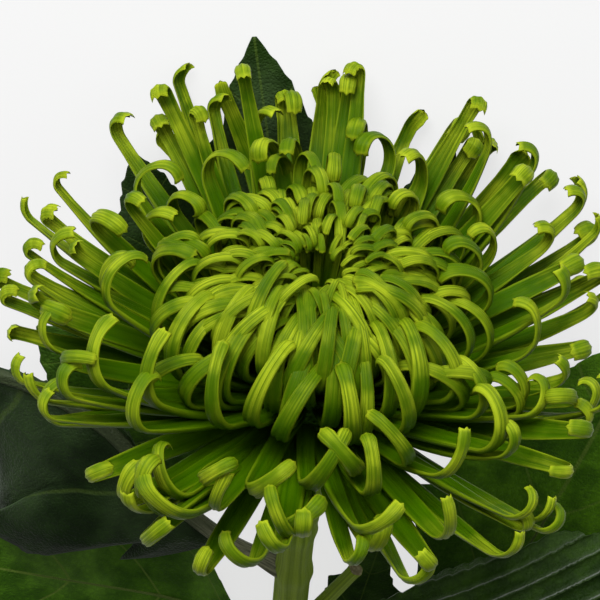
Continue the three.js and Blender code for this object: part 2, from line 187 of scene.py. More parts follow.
def setInputs(tree, node, values):
    # sockets by place, or by name with "_" for a space; a wire is linked, a value set
    for key, value in values.items():
        socket = node.inputs[key if isinstance(key, int) else key.replace("_", " ")]
        if isinstance(value, Wire):
            tree.links.new(value.socket, socket)
        else:
            socket.default_value = (*value, 1) if socket.type == "RGBA" else value


def addNode(tree, kind, *values, **named):
    # names in small letters are the node's settings, the others its sockets
    node = tree.nodes.new(kind)
    for key in [key for key in named if key[0].islower()]:
        setattr(node, key, named.pop(key))
    setInputs(tree, node, {**dict(enumerate(values)), **named})
    return Wire(tree, node)


def calc(tree, operation, *values):
    return addNode(tree, "ShaderNodeMath", *values, operation=operation)


def newTree(name, kind, inputs, outputs):
    # inputs and outputs are {label: socket kind}
    tree = bpy.data.node_groups.new(name, kind)
    for sockets, way in ((inputs, "INPUT"), (outputs, "OUTPUT")):
        for label, socketKind in sockets.items():
            tree.interface.new_socket(label, in_out=way, socket_type="NodeSocket" + socketKind)
    return tree, addNode(tree, "NodeGroupInput")


def vectorCalc(tree, operation, *values, **named):
    return addNode(tree, "ShaderNodeVectorMath", *values, operation=operation, **named)


def geometryNode(tree, kind, **named):
    return addNode(tree, "GeometryNode" + kind, **named)


def readLayer(tree, name, kind="FLOAT"):
    return geometryNode(tree, "InputNamedAttribute", data_type=kind, Name=name)


def endTree(tree, **outputs):
    setInputs(tree, tree.nodes.new("NodeGroupOutput"), outputs)
    return tree


def geometryTree(name, **inputs):
    return newTree(name, "GeometryNodeTree", {"Geometry": "Geometry", **inputs, "Material": "Material"},
                   {"Geometry": "Geometry"})


def endGeometry(tree, geometry, material):
    return endTree(tree, Geometry=geometryNode(tree, "SetMaterial", Geometry=geometry, Material=material))


def useGroup(tree, group, **inputs):
    return addNode(tree, "ShaderNodeGroup", node_tree=group, **inputs)


def attributes(tree, *names):
    return [addNode(tree, "ShaderNodeAttribute", attribute_name=name)["Fac"] for name in names]


def objectPlace(tree):
    return addNode(tree, "ShaderNodeTexCoord")["Object"]


def newMaterial(name):
    material = bpy.data.materials.new(name)
    material.use_nodes = True
    return material, material.node_tree


def paint(tree, **inputs):
    setInputs(tree, tree.nodes["Principled BSDF"], inputs)


def bump(tree, height, distance, strength):
    # the distance is in metres
    return addNode(tree, "ShaderNodeBump", Height=height, Distance=distance, Strength=strength)


def shaderGroup(name, inputs, outputs):
    # all sockets are plain values, apart from the place called Vector
    kinds = {label: "Vector" if label == "Vector" else "Float" for label in inputs}
    return newTree(name, "ShaderNodeTree", kinds, dict.fromkeys(outputs, "Float"))


def mottled(tree, patchScale, grainScale):
    return useGroup(tree, softMottle, Vector=objectPlace(tree), Patch_Scale=patchScale,
                    Grain_Scale=grainScale)


def makeFibreStreaks():
    # fine streaks that run along a petal, a stalk or the stem
    group, given = shaderGroup("fibreStreaks", ("Across", "Along", "Shift", "Fineness", "Stretch"),
                               ("Streak", "Fine Streak"))
    place = addNode(group, "ShaderNodeCombineXYZ", given["Across"] * given["Fineness"],
                    given["Along"] * given["Stretch"], given["Shift"])
    coarse = addNode(group, "ShaderNodeTexNoise", Vector=place, Scale=0.6, Detail=2.0)
    fine = addNode(group, "ShaderNodeTexNoise", Vector=place, Scale=2.2, Detail=3.0)
    return endTree(group, Streak=coarse.span(0.32, 0.68), Fine_Streak=fine.span(0.3, 0.7))


def makeSoftMottle():
    # slow, soft changes of shade over living tissue, and its fine grain
    group, given = shaderGroup("softMottle", ("Vector", "Patch Scale", "Grain Scale"), ("Patch", "Grain"))
    place = given["Vector"]
    patch = addNode(group, "ShaderNodeTexNoise", Vector=place, Scale=given["Patch Scale"], Detail=2.0)
    cells = addNode(group, "ShaderNodeTexVoronoi", feature="SMOOTH_F1", Vector=place,
                    Scale=given["Grain Scale"])
    return endTree(group, Patch=patch.span(0.35, 0.65), Grain=cells.span(0.0, 0.6))


def makeLeafVeins():
    # the midrib, the side veins where the phase passes a half, and the fine net between them
    group, given = shaderGroup("leafVeins", ("Phase", "Aside", "Vector", "Net Scale"),
                               ("Midrib", "Side", "Fold", "Net"))
    aside, place = abs(given["Aside"]), given["Vector"]
    wander = addNode(group, "ShaderNodeTexNoise", Vector=place, Scale=45.0)
    phase = wander.scaled(0.12, given["Phase"])
    fromVein = abs(phase.then("FRACT") - 0.5)
    net = addNode(group, "ShaderNodeTexVoronoi", feature="DISTANCE_TO_EDGE", Vector=place,
                  Scale=given["Net Scale"])
    return endTree(group, Midrib=aside.span(0.008, 0.022, 1.0, 0.0),
                   Side=fromVein.span(0.006, 0.024, 1.0, 0.0) * aside.span(0.5, 1.0, 1.0, 0.25),
                   Fold=fromVein.span(0.0, 0.14, 1.0, 0.0), Net=net.span(0.0, 0.16, 1.0, 0.0))


fibreStreaks = makeFibreStreaks()
softMottle = makeSoftMottle()
leafVeins = makeLeafVeins()
print("shader groups made")


# how the flower lies: the same rule as its solids
lie = {
    "faceTiltDeg": 20.0,      # the bloom's face leans up from the table
    "stemStart": 15.6,
    "stemLength": 240.0,
    "stemStraight": 90.0,
    "stemLevelling": 124.0,
    "stemRadius": 4.6,
    "ridgeHeight": 0.06,
}
faceTilt = math.radians(lie["faceTiltDeg"])
levellingRadius = lie["stemLevelling"] / faceTilt
headHeight = (lie["stemRadius"] * (1 - lie["ridgeHeight"]) + lie["stemStraight"] * math.sin(faceTilt)
              + levellingRadius * (1 - math.cos(faceTilt)))
facing = Vector((0, -math.cos(faceTilt), math.sin(faceTilt)))
awayFromTable = Vector((0, math.sin(faceTilt), math.cos(faceTilt)))
headCentre = Vector((0, 0, headHeight))
headToTable = Matrix((aboutX, awayFromTable, facing)).transposed()

lens = {
    "fromAxisDeg": 39.0,      # between the line of sight and the way the bloom faces
    "leanDeg": 5.0,
    "distance": 700.0,
    "mmPerPixel": 0.25,
    "imageSize": 600,
    "headPixel": (311.0, 383.0),
    "sensor": 36.0,
    "clipMetres": (0.05, 20.0),
}


def makeCamera():
    phi, lean = math.radians(lens["fromAxisDeg"]), math.radians(lens["leanDeg"])
    back = facing * math.cos(phi) + awayFromTable * math.sin(phi)
    plainUp = facing * math.sin(phi) - awayFromTable * math.cos(phi)
    up = plainUp * math.cos(lean) + aboutX * math.sin(lean)
    side = plainUp * math.sin(lean) - aboutX * math.cos(lean)
    middle = lens["imageSize"] / 2
    offX, offY = (p - middle for p in lens["headPixel"])
    target = headCentre + (up * offY - side * offX) * lens["mmPerPixel"]
    camera = bpy.data.cameras.new("camera")
    camera.sensor_width = lens["sensor"]
    camera.lens = lens["sensor"] * lens["distance"] / (lens["imageSize"] * lens["mmPerPixel"])
    camera.clip_start, camera.clip_end = lens["clipMetres"]
    stand = addObject("camera", camera)
    turn = Matrix((side, up, back)).transposed().to_4x4()
    turn.translation = (target + back * lens["distance"]) * mm
    stand.matrix_world = turn
    bpy.context.scene.camera = stand
    return back


studio = {
    "skyStrength": 0.26,
    # each way is given along the bloom's face, the line of sight and the table's X
    "lights": {
        "keyLight": {"watts": 9.0, "size": 0.45, "distance": 800.0, "way": (1.0, 0.3, 0.25)},
        "fillLight": {"watts": 2.0, "size": 1.0, "distance": 1000.0, "way": (0.0, 1.0, -0.3)},
    },
    "floorHalf": 3.0,
    "floorColour": (0.2, 0.2, 0.2),
    "floorGlow": 0.70,
}


def makeStudio(back):
    world = bpy.data.worlds.new("studio")
    bpy.context.scene.world = world
    world.use_nodes = True
    setInputs(world.node_tree, world.node_tree.nodes["Background"],
              {"Color": (1, 1, 1), "Strength": studio["skyStrength"]})
    for name, light in studio["lights"].items():
        forward, sight, aside = light["way"]
        way = (facing * forward + back * sight + aboutX * aside).normalized()
        lamp = bpy.data.lights.new(name, "AREA")
        lamp.energy = light["watts"]
        lamp.size = light["size"]
        stand = addObject(name, lamp)
        stand.location = (headCentre + way * light["distance"]) * mm
        stand.rotation_mode = "QUATERNION"
        stand.rotation_quaternion = way.to_track_quat("Z", "Y")
    material, tree = newMaterial("paleFloor")
    paint(tree, Base_Color=studio["floorColour"], Roughness=0.9, Specular_IOR_Level=0.0,
          Emission_Color=(1, 1, 1), Emission_Strength=studio["floorGlow"])
    half = studio["floorHalf"]
    corners = [(-half, -half, 0), (half, -half, 0), (half, half, 0), (-half, half, 0)]
    plainMesh("floor", corners, [(0, 1, 2, 3)], material, False)
    bpy.context.scene.view_settings.view_transform = "Standard"


makeStudio(makeCamera())
print("camera and studio made")


bloom = {
    "florets": 400,
    "pieces": {"bloomOuter": (0.0, 0.32), "bloomMiddle": (0.32, 0.66), "bloomInner": (0.66, 1.0)},
    # from the florets' order to their place: a full skirt, a sparse middle and a dense dome
    "places": [(0, 0), (0.24, 0.3), (0.36, 0.5), (0.44, 0.62), (0.63, 0.76), (0.8, 0.87), (1, 1)],
    "goldenDeg": 137.508,
    "rootRadius": 9.0,
    "rootDepth": -2.0,
    "rootClimb": 6.0,
    "length": [(0, 80), (0.28, 77), (0.4, 70), (0.5, 67), (0.62, 66.5), (0.7, 64.5), (0.78, 61),
               (0.85, 57.5), (0.92, 54), (0.96, 51.5), (1, 49.5)],
    "rise": [(0, 4), (0.15, 11), (0.28, 18), (0.4, 26), (0.5, 35), (0.62, 44.5), (0.7, 51.5), (0.78, 58),
             (0.85, 65), (0.92, 70.5), (1, 74)],
    "bend": [(0, 22), (0.28, 20), (0.4, 12), (0.5, 2), (1, 0)],
    "hookStart": [(0, 0.89), (0.15, 0.85), (0.28, 0.79), (0.4, 0.66), (0.5, 0.6), (0.62, 0.59), (0.7, 0.61),
                  (0.78, 0.63), (0.85, 0.685), (0.92, 0.745), (1, 0.81)],
    # on the side away from the table the dome's florets arch over sooner and wider
    "upperHook": [(0, 0), (0.4, 0), (0.5, 0.08), (0.62, 0.13), (0.7, 0.13), (0.78, 0.1), (0.85, 0.075),
                  (0.92, 0.055), (1, 0.035)],
    "endAngle": [(0, 115), (0.15, 138), (0.28, 168), (0.4, 198), (0.5, 213), (0.62, 220), (0.78, 225),
                 (0.85, 230), (0.92, 235), (1, 240)],
    "twist": [(0, 38), (0.4, 42), (0.62, 36), (1, 45)],
    "halfWidth": [(0, 2.9), (0.3, 2.8), (0.5, 2.4), (0.62, 2.2), (0.7, 2.05), (0.78, 1.8), (0.85, 1.5),
                  (0.92, 1.2), (1, 0.9)],
    "calm": [(0, 1), (0.4, 1), (0.6, 0.7), (1, 0.55)],   # towards the eye they stand more evenly
    "shortHook": [(0, 0), (0.45, 0), (0.6, 0.14), (0.8, 0.12), (1, 0)],
    # the outer florets at the sides and below end in short blunt knobs
    "bluntHook": [(0, 0.03), (0.2, 0.08), (0.4, 0.09), (0.5, 0), (1, 0)],
    "bluntShorter": 0.6,
    "bluntWider": 2.6,
    "vary": {"angle": 9, "length": 0.09, "rise": 6, "bend": 0.7, "hookStart": 0.07, "endAngle": 40,
             "lean": 9, "width": 0.12, "claw": 45, "mouth": 0.14},
    "latestHook": 0.93,
    "outerTo": 0.5,
    "underRise": 6.0,
    "underLonger": 0.2,
    "underHook": 0.09,
    "outerShorter": 0.14,
    "outerHook": 0.07,
    "floor": 2.2,
    "softLanding": 4.0,
}
floretShape = {
    "sizes": {"Stations": 44, "Around": 16, "Flute Depth": 0.3, "Rib Height": 0.1, "Groove Depth": 0.09,
              "Tooth Length": 0.2},
    "shaftStations": 15,
    "substeps": 240,
    "clawFrom": 0.93,         # the last stretch turns in further, as a claw
    "clawDeg": 45.0,
    "width": [(0, 0.45), (0.2, 0.88), (0.45, 1.0), (0.7, 0.92), (0.86, 0.74), (0.93, 0.7), (0.97, 0.78),
              (1, 0.68)],
    "slimHook": [(0, 0.12), (0.4, 0.1), (0.6, -0.06), (0.8, -0.16), (1, -0.05)],
    "slimFrom": (0.62, 0.9),
    "knobFrom": (0.85, 0.95),
    # a closed tube that opens into a channel towards the tip
    "channel": [(0, 0.1), (0.5, 0.14), (0.8, 0.4), (0.9, 0.5), (0.95, 0.58), (1, 0.75)],
    "skin": [(0, 0.46), (0.55, 0.42), (0.75, 0.26), (0.88, 0.16), (1, 0.1)],
    "archPower": 3.0,
    "grooveAt": 0.38,
    "grooveReach": 0.3,
    "ribReach": 0.35,
    "mouthFrom": 0.995,
    "waver": 0.06,
    "wavers": 9,
}


def floretTraits(k):
    order = k / (bloom["florets"] - 1)
    t = ramp(order, bloom["places"])

    def here(label):
        return ramp(t, bloom[label])

    def drawn(label, trait):
        return bloom["vary"][label] * spread(k, trait)

    calm = here("calm")
    angle = math.radians(k * bloom["goldenDeg"] + drawn("angle", 1) * calm)
    under = 0.5 - 0.5 * math.cos(angle)
    outer = max(0.0, 1 - t / bloom["outerTo"])
    blunt = here("bluntHook") * smooth(0.3, 0.6, under)
    shorter = 1 - here("shortHook") * smooth(0.2, 0.5, under)
    rise = here("rise") + drawn("rise", 3) * calm + bloom["underRise"] * outer * under
    bend = here("bend") * (1 + drawn("bend", 4))
    longer = 1 + outer * (bloom["underLonger"] * under - bloom["outerShorter"])
    longer *= 1 - bloom["bluntShorter"] * blunt
    later = outer * (bloom["underHook"] * under - bloom["outerHook"]) + blunt
    hookStart = here("hookStart") + drawn("hookStart", 5) * calm + later - here("upperHook") * (1 - under)
    return {
        "t": t, "angle": angle, "rise": rise, "bend": bend,
        "root": bloom["rootRadius"] * math.sqrt(1 - order),
        "length": here("length") * (1 + drawn("length", 2) * calm) * longer * shorter,
        "hookStart": min(bloom["latestHook"], hookStart / shorter),
        "hook": here("endAngle") + drawn("endAngle", 6) * calm - rise - bend,
        "twist": here("twist") * spread(k, 7) * (1 + outer * (1 - under)) * calm,
        "heading": angle + math.radians(drawn("lean", 8) * calm),
        "halfWidth": here("halfWidth") * (1 + drawn("width", 9)),
        "claw": floretShape["clawDeg"] + drawn("claw", 12),
        "mouth": drawn("mouth", 13),
        "knob": bloom["bluntWider"] * blunt,
    }


def floretFrames(traits):
    # the centre line in the head's frame, in fine steps, as (share, at, across, face)
    root = traits["root"]
    angle, heading, rise = traits["angle"], traits["heading"], math.radians(traits["rise"])
    at = Vector((-root * math.sin(angle), root * math.cos(angle),
                 bloom["rootDepth"] + bloom["rootClimb"] * traits["t"]))
    out = Vector((-math.sin(heading), math.cos(heading), 0))
    along = out * math.cos(rise) + aboutZ * math.sin(rise)
    face = aboutZ * math.cos(rise) - out * math.sin(rise)
    across = along.cross(face)
    steps, hookStart = floretShape["substeps"], traits["hookStart"]
    frames = []
    for i in range(steps + 1):
        frames.append((i / steps, at.copy(), across.copy(), face.copy()))
        s = (i + 0.5) / steps
        turnDeg = traits["bend"] / hookStart if s < hookStart else traits["hook"] / (1 - hookStart)
        if s > floretShape["clawFrom"]:
            turnDeg += traits["claw"] / (1 - floretShape["clawFrom"])
        turn, roll = math.radians(turnDeg / steps), math.radians(traits["twist"] / steps)
        at += (along * math.cos(turn / 2) + face * math.sin(turn / 2)) * (traits["length"] / steps)
        turned = face * math.cos(turn) - along * math.sin(turn)
        along = along * math.cos(turn) + face * math.sin(turn)
        face = turned * math.cos(roll) - across * math.sin(roll)
        across = across * math.cos(roll) + turned * math.sin(roll)
    return frames


def floretStations(start):
    # few stations on the plain shaft and many round the hook
    shaft = floretShape["shaftStations"]
    every = floretShape["sizes"]["Stations"]
    places = [start * i / shaft for i in range(shaft)]
    places += [start + (1 - start) * i / (every - 1 - shaft) for i in range(every - shaft)]
    return [round(p * floretShape["substeps"]) for p in places]


def floretLines(numbers):
    # all centre lines as one mesh of points that carry the frame, width and channel of the floret
    rows = []
    for k in numbers:
        traits = floretTraits(k)
        frames = floretFrames(traits)
        phase = math.pi * spread(k, 10)
        for step in floretStations(traits["hookStart"]):
            s, local, localAcross, localFace = frames[step]
            waver = 1 + floretShape["waver"] * math.sin(floretShape["wavers"] * s + phase)
            waver += traits["mouth"] * smooth(floretShape["clawFrom"] - 0.03, 1.0, s)
            slim = (1 - ramp(traits["t"], floretShape["slimHook"]) * smooth(*floretShape["slimFrom"], s)
                    + traits["knob"] * smooth(*floretShape["knobFrom"], s))
            half = traits["halfWidth"] * ramp(s, floretShape["width"]) * waver * slim
            across, face = headToTable @ localAcross, headToTable @ localFace
            centre = headCentre + headToTable @ local
            channel, skin = ramp(s, floretShape["channel"]), ramp(s, floretShape["skin"])
            reach = half * (abs(across.z) + (channel + skin) * abs(face.z))
            centre.z = layOn(centre.z, bloom["floor"] + reach, bloom["softLanding"])
            rows.append((centre * mm, across, face, half * mm, s, channel, skin, spread(k, 11),
                         traits["t"]))
    at, across, face, wide, share, channel, skin, tint, inmost = zip(*rows)
    mesh = bpy.data.meshes.new("floretLines")
    mesh.from_pydata([tuple(v) for v in at], [], [])
    store(mesh, "FLOAT_VECTOR", across=across, face=face)
    store(mesh, wide=wide, share=share, channel=channel, skin=skin, tint=tint, inmost=inmost)
    return mesh


def floretTree():
    # sweeps one ribbed channel along each centre line
    sizes = {label: "Int" if isinstance(size, int) else "Float"
             for label, size in floretShape["sizes"].items()}
    tree, given = geometryTree("sweptFlorets", Florets="Int", **sizes)

    def keep(geometry, name, value, kind="FLOAT", domain="POINT"):
        return geometryNode(tree, "StoreNamedAttribute", Geometry=geometry, Name=name, Value=value,
                            data_type=kind, domain=domain)

    # the plain tube that is bent into every floret
    lastStation = given["Stations"] - 1.0
    plain = geometryNode(tree, "MeshCylinder", fill_type="NGON", Radius=1.0, Depth=1.0,
                         Vertices=given["Around"], Side_Segments=lastStation)
    position = geometryNode(tree, "InputPosition")
    corner = addNode(tree, "ShaderNodeSeparateXYZ", position)
    plain = keep(plain, "ring", ((corner[2] + 0.5) * lastStation).then("ROUND"))
    plain = keep(plain, "edge", corner[0])
    plain = keep(plain, "inner", corner[1])
    points = geometryNode(tree, "Points", Count=given["Florets"])
    copies = geometryNode(tree, "InstanceOnPoints", Points=points, Instance=plain)
    copies = keep(copies, "floret", geometryNode(tree, "InputIndex"), "INT", "INSTANCE")
    swept = geometryNode(tree, "RealizeInstances", Geometry=copies)

    # what the centre line says at this ring
    row = readLayer(tree, "floret", "INT").scaled(given["Stations"], readLayer(tree, "ring"))

    def sample(value, kind="FLOAT"):
        return geometryNode(tree, "SampleIndex", data_type=kind, domain="POINT",
                            Geometry=given["Geometry"], Value=value, Index=row)

    at = sample(position, "FLOAT_VECTOR")
    across, face = (sample(readLayer(tree, name, "FLOAT_VECTOR"), "FLOAT_VECTOR")
                    for name in ("across", "face"))
    wide, share, channel, skin, tint, inmost = (
        sample(readLayer(tree, name)) for name in ("wide", "share", "channel", "skin", "tint", "inmost"))

    # the section: a channel whose inside has a rib in the middle and whose outside has two grooves
    edge, side = readLayer(tree, "edge"), readLayer(tree, "inner")
    aside, square = abs(edge), edge * edge
    arch = 1.0 - aside.then("POWER", floretShape["archPower"])
    thin = (1.0 - square * square).then("MAXIMUM", 0.0).then("SQRT")
    flute = abs(aside - floretShape["grooveAt"]).span(0.0, floretShape["grooveReach"], 1.0, 0.0)
    wall = thin * skin * (1.0 - flute * given["Flute Depth"]) * side.then("SIGN")
    ribHeight = given["Rib Height"] * side.then("GREATER_THAN", 0.01)
    rib = aside.span(0.0, floretShape["ribReach"], 1.0, 0.0) * ribHeight
    groove = flute * (given["Groove Depth"] * side.then("LESS_THAN", -0.01))
    lift = (wall - arch * channel) + (rib + groove)
    mouth = share.then("GREATER_THAN", floretShape["mouthFrom"])
    tooth = (edge * (2 * math.pi)).then("COSINE") * (given["Tooth Length"] * mouth)

    def push(place, way, amount):
        return vectorCalc(tree, "ADD", place, vectorCalc(tree, "SCALE", way, Scale=amount * wide))

    place = push(at, across, edge * -1.0)
    place = push(place, face, lift)
    place = push(place, vectorCalc(tree, "CROSS_PRODUCT", face, across), tooth)
    swept = geometryNode(tree, "SetPosition", Geometry=swept, Position=place)
    for name, value in (("share", share), ("tint", tint), ("inmost", inmost)):
        swept = keep(swept, name, value)
    swept = geometryNode(tree, "SetShadeSmooth", Geometry=swept)
    return endGeometry(tree, swept, given["Material"])


def runTree(name, mesh, tree, settings):
    # gives a carrier object the tree, and turns what it makes into a plain mesh
    carrier = addObject(name + "Carrier", mesh)
    modifier = carrier.modifiers.new("tree", "NODES")
    modifier.node_group = tree
    for item in tree.interface.items_tree:
        if item.in_out == "INPUT" and item.name in settings:
            modifier[item.identifier] = settings[item.name]
    depsgraph = bpy.context.evaluated_depsgraph_get()
    made = bpy.data.meshes.new_from_object(carrier.evaluated_get(depsgraph))
    carrier.modifiers.remove(modifier)
    bpy.data.objects.remove(carrier)
    return addObject(name, made)


floretFinish = {
    "shaft": (0.050, 0.132, 0.0001),
    "middle": (0.050, 0.124, 0.0001),
    "curlOuter": (0.040, 0.104, 0.0002),
    "curlInner": (0.027, 0.084, 0.0001),
    "tipOuter": (0.070, 0.145, 0.0010),
    "tipInner": (0.060, 0.132, 0.0004),
    # the next two colours are painted highlights, on the shaft and on the hook
    "ridgeShaft": (0.090, 0.190, 0.0010),
    "ridge": (0.430, 0.510, 0.0180),
    # painted shade for the two grooves on the outer face
    "furrowDarker": (0.36, 0.64, 0.20),
    # painted shade for the inside of the channel near the tip
    "insideDarker": (0.34, 0.66, 0.30),
    "streakDarker": (0.55, 0.66, 0.5),
    "patchScale": 110.0,
    "grainScale": 2500.0,
}


def floretMaterial():
    material, tree = newMaterial("floretSkin")
    finish = floretFinish
    share, edge, inner, tint, inmost = attributes(tree, "share", "edge", "inner", "tint", "inmost")
    streaks = useGroup(tree, fibreStreaks, Across=edge, Along=share, Shift=tint * 40.0,
                       Fineness=9.0, Stretch=1.5)
    mottle = mottled(tree, finish["patchScale"], finish["grainScale"])
    streak, fine, patch = streaks["Streak"], streaks["Fine Streak"], mottle["Patch"]
    aside = abs(edge)
    # the colours run from the root to the tip, and differ from the skirt to the dome
    place = share + (streak - 0.5) * 0.1 + tint * 0.08
    outer, inside = (
        place.tints((0.1, finish["shaft"]), (0.5, finish["middle"]), (0.8, finish["curl" + side]),
                    (1.0, finish["tip" + side])) for side in ("Outer", "Inner"))
    base = inmost.span(0.2, 0.65).mix(outer, inside)
    # painted shade in the two grooves of the outer face, stronger along the streaks
    furrow = abs(aside - floretShape["grooveAt"]).span(0.02, 0.2, 1.0, 0.0) * streak.scaled(0.4, 0.15)
    base = furrow.darken(base, finish["furrowDarker"])
    # painted shade on the inside of the channel towards the tip
    channel = inner.span(-0.15, 0.25) * share.span(0.6, 0.88)
    base = (channel * 0.6).darken(base, finish["insideDarker"])
    # painted highlights: paler rims and blotches of light on the hooks, and the mouth in the same highlight
    # colour
    ridge = share.span(0.4, 0.85).mix(finish["ridgeShaft"], finish["ridge"])
    highlightPlace = share + inmost.span(0.4, 0.85, 0.0, 0.22)
    highlightBlotch = patch.scaled(0.75, 0.15) * highlightPlace.span(0.6, 0.9, 0.0, 0.9)
    rim = aside.span(0.7, 0.97, 0.0, 0.38)
    base = rim.then("MAXIMUM", streak.scaled(0.65, 0.25) * highlightBlotch).mix(base, ridge)
    base = share.span(0.985, 1.0, 0.0, 0.6).mix(base, finish["ridge"])
    base = (fine * 0.25).darken(base, finish["streakDarker"])
    height = fine * 0.8 + mottle["Grain"] * 0.2 - furrow * 1.2
    paint(tree, Base_Color=base, Roughness=patch.scaled(0.12, 0.3), Specular_IOR_Level=0.05,
          Normal=bump(tree, height, distance=0.0002, strength=0.6))
    return material


def makeBloom():
    material, tree = floretMaterial(), floretTree()
    for name, (first, last) in bloom["pieces"].items():
        numbers = range(round(first * bloom["florets"]), round(last * bloom["florets"]))
        piece = runTree(name, floretLines(numbers), tree,
                        {"Florets": len(numbers), **floretShape["sizes"], "Material": material})
        finishPiece(piece, "bloom")
        print(name, len(piece.data.polygons), "faces")


makeBloom()


def ringOf(centre, across, way, radii):
    # the radii stand evenly about the way, from across on
    face = across.cross(way)
    return [centre + (across * math.cos(turn) + face * math.sin(turn)) * radius
            for turn, radius in zip(turns(len(radii)), radii)]


def sweepTube(rings, capRings):
    # closes the rings into a tube; capRings are (share of the radius, rise) inside each end
    around = len(rings[0])

    def inset(ring, share, push):
        middle = sum(ring, Vector()) / around
        return [middle + (p - middle) * share + push for p in ring]

    startPush = (sum(rings[0], Vector()) - sum(rings[1], Vector())).normalized()
    endPush = (sum(rings[-1], Vector()) - sum(rings[-2], Vector())).normalized()
    every = [inset(rings[0], share, startPush * rise) for share, rise in capRings] + rings
    every += [inset(rings[-1], share, endPush * rise) for share, rise in reversed(capRings)]
    last = (len(every) - 1) * around
    faces = tubeFaces(len(every), around)
    faces += [tuple(reversed(range(around))), tuple(range(last, last + around))]
    return [p * mm for ring in every for p in ring], faces


stem = {
    "collarRadius": 5.3,
    "collarLength": 14.0,
    "ridges": 6,
    "nodeSwell": 0.7,
    "nodeReach": 6.0,
    "around": 72,
    "stations": 170,
    "fineRidges": 18,
    "fineHeight": 0.012,
    "fineWander": 0.25,
    "wanderPerMm": 0.05,
    "capRings": [(0.35, -0.25), (0.72, -0.1), (0.93, 0.0)],
    "alongPerMm": 0.1,
    "patchScale": 45.0,
    "grainScale": 1400.0,
    "light": (0.340, 0.490, 0.030),
    "dark": (0.120, 0.220, 0.004),
    "patch": (0.200, 0.260, 0.040),
    "streakDarker": (0.45, 0.5, 0.45),
    "pith": (0.24, 0.22, 0.12),
    "pithDark": (0.13, 0.115, 0.055),
}
stub = {
    "at": 118.0, "direction": (-0.43, -0.86, 0.27), "length": 35.0, "radius": 1.9, "rootThicker": 0.25,
    "around": 32, "stations": 26, "rimFlare": 0.12, "ridges": 5, "ridgeHeight": 0.05,
}
leafOutline = [(0, 0.08), (0.1, 0.36), (0.2, 0.82), (0.27, 0.94), (0.31, 0.74), (0.4, 0.88), (0.5, 1),
               (0.54, 0.8), (0.64, 0.82), (0.74, 0.84), (0.78, 0.58), (0.9, 0.36), (1, 0.03)]
wholeOutline = [(0, 0.08), (0.1, 0.3), (0.2, 0.58), (0.27, 0.7), (0.4, 0.85), (0.5, 0.93), (0.66, 1.0),
                (0.74, 0.94), (0.8, 0.85), (0.9, 0.5), (1, 0.03)]
broadOutline = [(0, 0.08), (0.05, 0.4), (0.085, 0.55), (0.115, 0.38), (0.2, 0.82), (0.27, 0.94),
                (0.31, 1.0), (0.54, 1.02), (0.74, 1.1), (0.8, 1.05), (0.9, 0.75), (1, 0.03)]
# two values stand for the half nearer the bloom and the other half
plainLeaf = {
    "droopDeg": (0, 0), "floor": 0, "bulge": 0.5, "rib": (0.7, 0.25), "ridged": 0.0,
    "veins": (4.2, 0.2, 0.0),           # pairs, lean and shift
    "outlines": (leafOutline, leafOutline),
}
leaves = {
    "leaf_left": {
        "node": 84, "path": [(20, 72, 26), (37, 58, 26), (54, 42, 22), (79, 34, 15), (112, 36, 5)],
        "bladeFrom": 0.2, "halfWidth": (4, 56), "droopDeg": (30, 13), "floor": 1.3,
        "tone": 0.0, "waxAndSheenAmount": 0.36, "paleVein": 0.26, "bulge": 3.2, "veins": (2.2, 0.28, -0.15),
        "rib": (2.4, 1.8), "outlines": (leafOutline, broadOutline),
    },
    "leaf_lower_left": {
        "node": 112, "path": [(10, 113, 14), (28, 113, 3), (54, 111, -3), (84, 108, -3), (114, 104, -3)],
        "bladeFrom": 0.2, "halfWidth": (27, 27), "tone": 0.8, "waxAndSheenAmount": 0.35, "paleVein": 0.9, "bulge": 0.4,
    },
    "leaf_behind_left": {
        "node": 64, "path": [(9, 57, 22), (22, 58, 6), (40, 52, -3), (58, 40, -3), (75, 25, -3)],
        "bladeFrom": 0.3, "halfWidth": (20, 20), "tone": 0.4, "waxAndSheenAmount": 0.2, "paleVein": 0.5, "bulge": 0.4,
    },
    "leaf_top": {
        "node": 46, "path": [(4, 36, 22), (7, 24, 4), (9, 8, -4), (15, -30, -4), (22, -67, -4)],
        "bladeFrom": 0.34, "halfWidth": (21, 21), "tone": 0.1, "waxAndSheenAmount": 0.7, "paleVein": 0.3,
    },
    "leaf_upper_left": {
        "node": 58, "path": [(10, 46, 23), (21, 33, 8), (33, 12, -1), (43, -10, -2), (51, -31, -2)],
        "bladeFrom": 0.32, "halfWidth": (16, 16), "floor": 1.2, "tone": 0.1, "waxAndSheenAmount": 0.6, "paleVein": 0.3,
    },
    "leaf_upper_right": {
        "node": 52, "path": [(-8, 41, 25), (-15, 27, 9), (-21, 6, -1), (-26, -18, -2), (-31, -43, -2)],
        "bladeFrom": 0.32, "halfWidth": (14, 14), "floor": 1.2, "tone": 0.1, "waxAndSheenAmount": 0.6, "paleVein": 0.3,
    },
    "leaf_right": {
        "node": 134, "path": [(-14, 124, 11), (-36, 117, 6), (-58, 99, 0), (-75, 57, -2), (-89, 10, -2)],
        "bladeFrom": 0.36, "halfWidth": (38, 38), "floor": 1.1, "tone": 0.85, "waxAndSheenAmount": 0.0,
        "paleVein": 0.6, "veins": (4.2, 0.3, 0.0),
    },
    "leaf_lower_right": {
        "node": 146, "path": [(-12, 124, 21), (-29, 106, 33), (-53, 93, 42), (-82, 85, 38), (-112, 82, 24)],
        "bladeFrom": 0.22, "halfWidth": (31, 31), "droopDeg": (18, 18), "floor": 2.4, "tone": 0.25,
        "waxAndSheenAmount": 0.25, "paleVein": 0.9, "bulge": 0.8, "veins": (4.7, 1.07, -0.45), "ridged": 1.0,
        "outlines": (leafOutline, wholeOutline),
    },
    "leaf_lower_centre": {
        "node": 162, "path": [(-8, 147, 6), (-14, 134, 0), (-18, 119, -3), (-21, 104, -3), (-24, 88, -3)],
        "bladeFrom": 0.26, "halfWidth": (13, 13), "tone": 0.3, "waxAndSheenAmount": 0.2, "paleVein": 0.4, "bulge": 0.4,
    },
}


